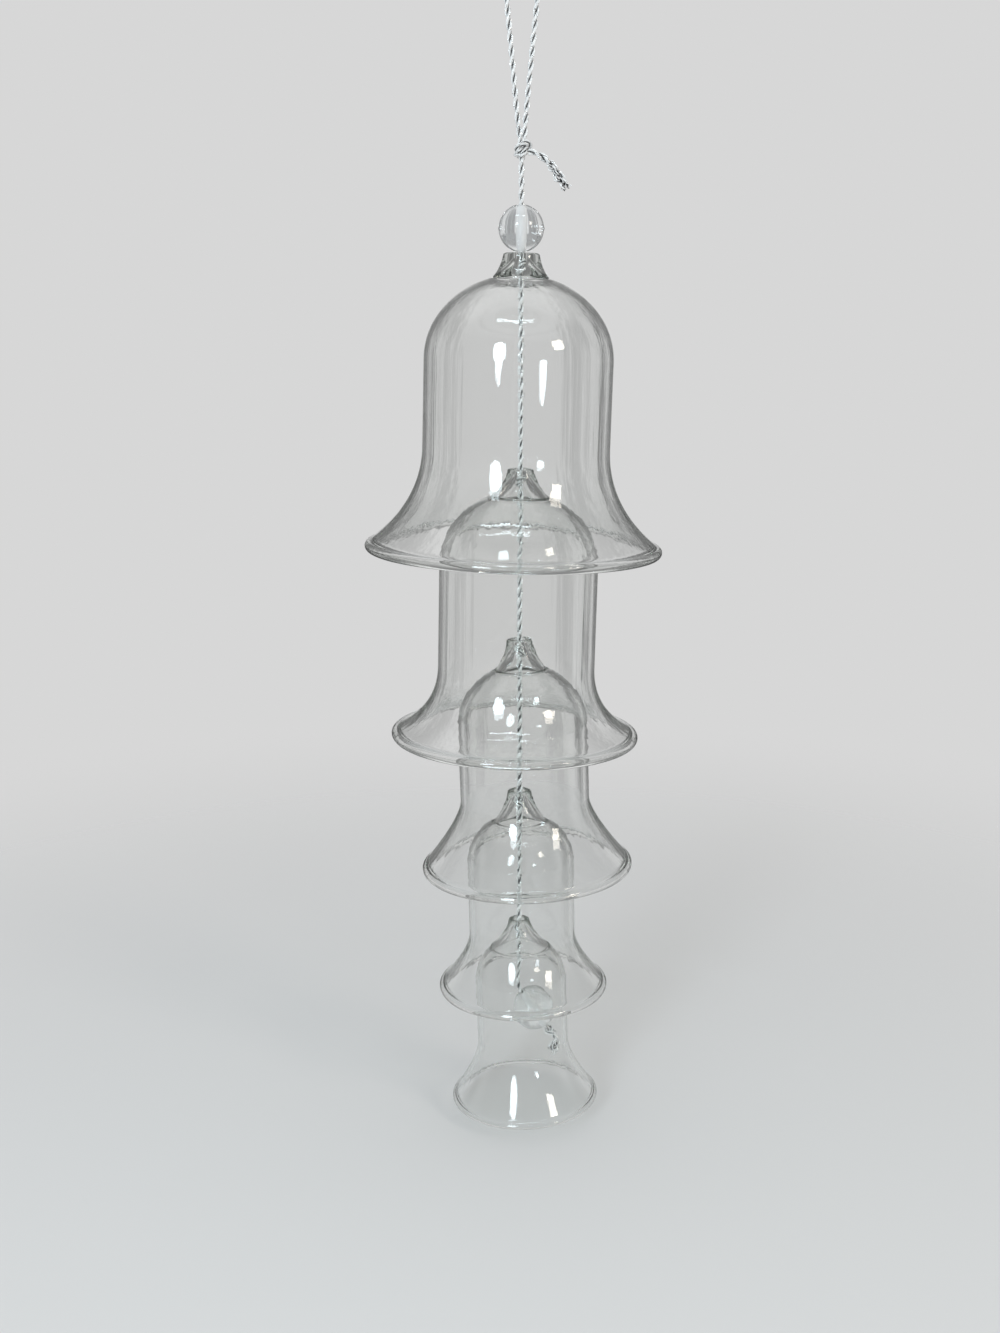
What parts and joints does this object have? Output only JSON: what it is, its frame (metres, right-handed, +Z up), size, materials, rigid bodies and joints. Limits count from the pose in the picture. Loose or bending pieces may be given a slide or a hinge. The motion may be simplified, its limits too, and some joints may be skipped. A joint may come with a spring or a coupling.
{
  "type": "glass bell wind chime",
  "caption": "Hanging wind chime of clear glass bells nested one under another on a knotted silver cord, each ringing on the next, with a loose top bead and a bead clapper.",
  "frame": {"origin": "where the top of the hanging loop bears on the hook that carries the chime", "axes": "+Z straight up along the cord, -Y towards the viewer of the picture, +X to that viewer's right"},
  "size_m": [0.08, 0.08, 0.3076],
  "materials": {
    "clear_glass": "clear blown glass, fire polished",
    "clear_bead": "clear moulded bead, glossy, with a fine seam round it",
    "silver_cord": "two-ply twisted silver metallic cord"
  },
  "bodies": {
    "hanger": {"hanging_loop": "silver_cord", "loop_knot": "silver_cord", "loop_tail": "silver_cord"},
    "strand_1": {"cord_1": "silver_cord", "knot_1": "silver_cord"},
    "bead_on_top": {"top_bead": "clear_bead"},
    "first_bell": {"bell_1": "clear_glass"},
    "strand_2": {"cord_2": "silver_cord", "knot_2": "silver_cord"},
    "second_bell": {"bell_2": "clear_glass"},
    "strand_3": {"cord_3": "silver_cord", "knot_3": "silver_cord"},
    "third_bell": {"bell_3": "clear_glass"},
    "strand_4": {"cord_4": "silver_cord", "knot_4": "silver_cord"},
    "fourth_bell": {"bell_4": "clear_glass"},
    "strand_5": {"cord_5": "silver_cord", "knot_5": "silver_cord"},
    "fifth_bell": {"bell_5": "clear_glass"},
    "clapper": {"clapper_cord": "silver_cord", "clapper_bead": "clear_bead", "clapper_knot": "silver_cord", "clapper_tail": "silver_cord"}
  },
  "joints": [
    {"name": "strand_1_swing", "type": "hinge", "parent": "hanger", "child": "strand_1", "pos_m": [0, 0, -0.043], "axis": [0, 1, 0], "range_deg": [-30, 30]},
    {"name": "top_bead_slide", "type": "slide", "parent": "strand_1", "child": "bead_on_top", "axis": [0, 0, 1], "range_m": [0, 0.0095]},
    {"name": "bell_1_swing", "type": "hinge", "parent": "strand_1", "child": "first_bell", "pos_m": [0, 0, -0.0718], "axis": [1, 0, 0], "range_deg": [-5, 5]},
    {"name": "strand_2_swing", "type": "hinge", "parent": "strand_1", "child": "strand_2", "pos_m": [0, 0, -0.0718], "axis": [0, 1, 0], "range_deg": [-5, 6]},
    {"name": "bell_2_swing", "type": "hinge", "parent": "strand_2", "child": "second_bell", "pos_m": [0, 0, -0.1275], "axis": [1, 0, 0], "range_deg": [-3, 3]},
    {"name": "strand_3_swing", "type": "hinge", "parent": "strand_2", "child": "strand_3", "pos_m": [0, 0, -0.1275], "axis": [0, 1, 0], "range_deg": [-2, 4]},
    {"name": "bell_3_swing", "type": "hinge", "parent": "strand_3", "child": "third_bell", "pos_m": [0, 0, -0.1735], "axis": [1, 0, 0], "range_deg": [-5, 5]},
    {"name": "strand_4_swing", "type": "hinge", "parent": "strand_3", "child": "strand_4", "pos_m": [0, 0, -0.1735], "axis": [0, 1, 0], "range_deg": [-5.5, 3.8]},
    {"name": "bell_4_swing", "type": "hinge", "parent": "strand_4", "child": "fourth_bell", "pos_m": [0, 0, -0.2166], "axis": [1, 0, 0], "range_deg": [-3.2, 3.2]},
    {"name": "strand_5_swing", "type": "hinge", "parent": "strand_4", "child": "strand_5", "pos_m": [0, 0, -0.2166], "axis": [0, 1, 0], "range_deg": [-3.4, 2.9]},
    {"name": "bell_5_swing", "type": "hinge", "parent": "strand_5", "child": "fifth_bell", "pos_m": [0, 0, -0.2547], "axis": [1, 0, 0], "range_deg": [-6, 6]},
    {"name": "clapper_swing", "type": "hinge", "parent": "strand_5", "child": "clapper", "pos_m": [0, 0, -0.2547], "axis": [1, 0, 0], "range_deg": [-6, 6]}
  ]
}
